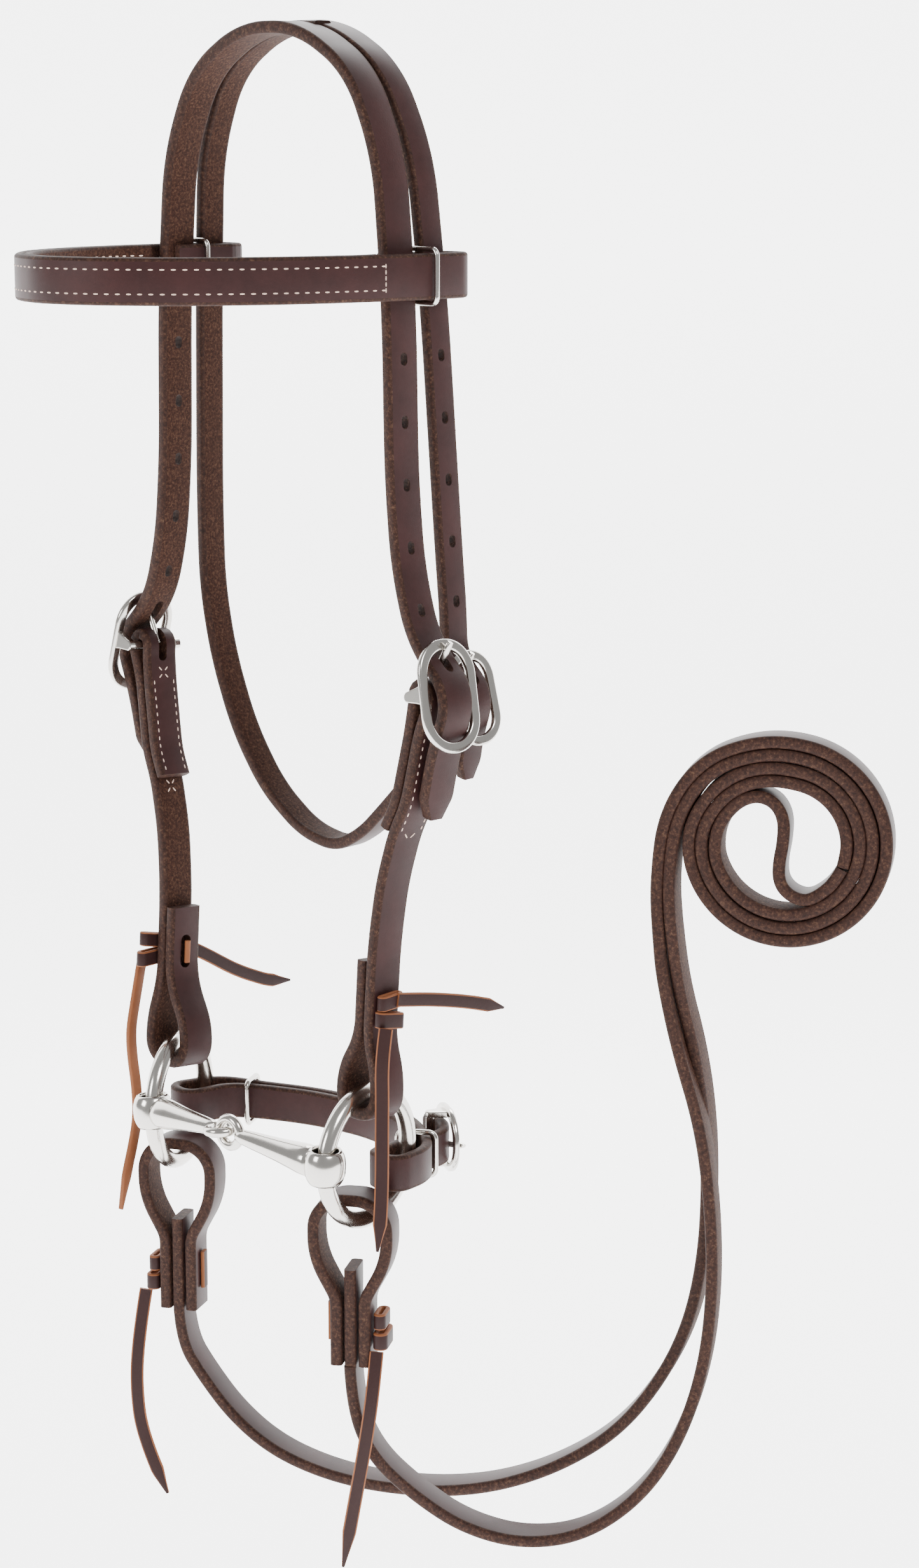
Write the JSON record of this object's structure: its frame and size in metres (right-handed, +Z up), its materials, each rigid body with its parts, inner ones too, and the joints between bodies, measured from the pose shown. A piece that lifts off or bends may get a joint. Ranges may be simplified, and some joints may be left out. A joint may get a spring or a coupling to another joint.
{
  "type": "snaffle bridle",
  "caption": "Leather snaffle bridle: split crown with throat strap, looped browband, buckled cheeks, jointed loose-ring bit, curb strap and coiled strap reins tied on with laces.",
  "frame": {"origin": "underside of the crown at the middle of the front strap, where the bridle rests on the poll", "axes": "+X the horse's near (left) side, -Y the front, +Z up"},
  "size_m": [0.3507, 0.2565, 0.6636],
  "materials": {
    "strap_leather": "smooth oiled dark reddish-brown bridle leather, rounded mottled edges, tan-flecked flesh side",
    "lace_leather": "dark latigo lace with orange-tan cut edges",
    "nickel": "polished nickel plate, slightly warm"
  },
  "bodies": {
    "headstall": {"headpiece": "strap_leather", "cheek_strap_near": "strap_leather", "cheek_strap_far": "strap_leather", "cheek_lace_near": "lace_leather", "cheek_lace_far": "lace_leather", "cheek_buckle_near": "nickel", "cheek_buckle_far": "nickel", "throat_buckle": "nickel", "rein_loop_near": "strap_leather", "rein_loop_far": "strap_leather", "rein_end_near": "strap_leather", "rein_end_far": "strap_leather", "rein_near": "strap_leather", "rein_far": "strap_leather", "rein_coil": "strap_leather", "rein_lace_near": "lace_leather", "rein_lace_far": "lace_leather", "rein_lace_tail_near": "lace_leather", "rein_lace_tail_far": "lace_leather", "cheek_lace_tail_near": "lace_leather", "cheek_lace_tail_far": "lace_leather"},
    "browband": {"browband_strap": "strap_leather", "browband_lining": "strap_leather", "browband_keeper_near": "nickel", "browband_keeper_far": "nickel"},
    "tongue_near": {"cheek_tongue_near": "nickel"},
    "tongue_far": {"cheek_tongue_far": "nickel"},
    "tongue_throat": {"throat_tongue": "nickel"},
    "ring_near": {"bit_ring_near": "nickel"},
    "ring_far": {"bit_ring_far": "nickel"},
    "mouth_near": {"cannon_near": "nickel"},
    "mouth_far": {"cannon_far": "nickel"},
    "curb": {"curb_strap": "strap_leather", "curb_keeper_near": "nickel", "curb_keeper_far": "nickel", "curb_buckle": "nickel"},
    "tongue_curb": {"curb_tongue": "nickel"}
  },
  "joints": [
    {"name": "browband_slide", "type": "slide", "parent": "headstall", "child": "browband", "axis": [0, 0, 1], "range_m": [-0.008, 0.008]},
    {"name": "near_tongue_hinge", "type": "hinge", "parent": "headstall", "child": "tongue_near", "pos_m": [0.0932, 0, -0.266], "axis": [0, 0.9979, -0.0654], "range_deg": [0, 5]},
    {"name": "far_tongue_hinge", "type": "hinge", "parent": "headstall", "child": "tongue_far", "pos_m": [-0.0932, 0, -0.266], "axis": [0, -0.9979, 0.0654], "range_deg": [0, 5]},
    {"name": "throat_tongue_hinge", "type": "hinge", "parent": "headstall", "child": "tongue_throat", "pos_m": [0.0806, 0.0261, -0.2716], "axis": [0, 0.9991, 0.042], "range_deg": [0, 5]},
    {"name": "near_ring_spin", "type": "hinge", "parent": "headstall", "child": "ring_near", "pos_m": [0.0642, -0.012, -0.466], "axis": [-0.9848, -0.1736, 0], "continuous": true},
    {"name": "far_ring_spin", "type": "hinge", "parent": "headstall", "child": "ring_far", "pos_m": [-0.064, -0.012, -0.469], "axis": [-0.891, -0.454, 0], "continuous": true},
    {"name": "near_cannon_fold", "type": "hinge", "parent": "headstall", "child": "mouth_near", "pos_m": [0.0691, -0.0396, -0.464], "axis": [0, 0, 1], "range_deg": [-8, 4]},
    {"name": "far_cannon_fold", "type": "hinge", "parent": "headstall", "child": "mouth_far", "pos_m": [-0.0513, -0.0369, -0.467], "axis": [0, 0, 1], "range_deg": [-4, 8]},
    {"name": "curb_swing", "type": "hinge", "parent": "headstall", "child": "curb", "pos_m": [-0.008, 0.0118, -0.4745], "axis": [1, 0.0095, 0], "range_deg": [-3, 3]},
    {"name": "curb_tongue_hinge", "type": "hinge", "parent": "curb", "child": "tongue_curb", "pos_m": [0.0403, 0.0464, -0.4766], "axis": [0, 0, 1], "range_deg": [0, 4]}
  ],
  "couplings": [
    {"joint": "far_cannon_fold", "follows": "near_cannon_fold", "ratio": -1}
  ]
}
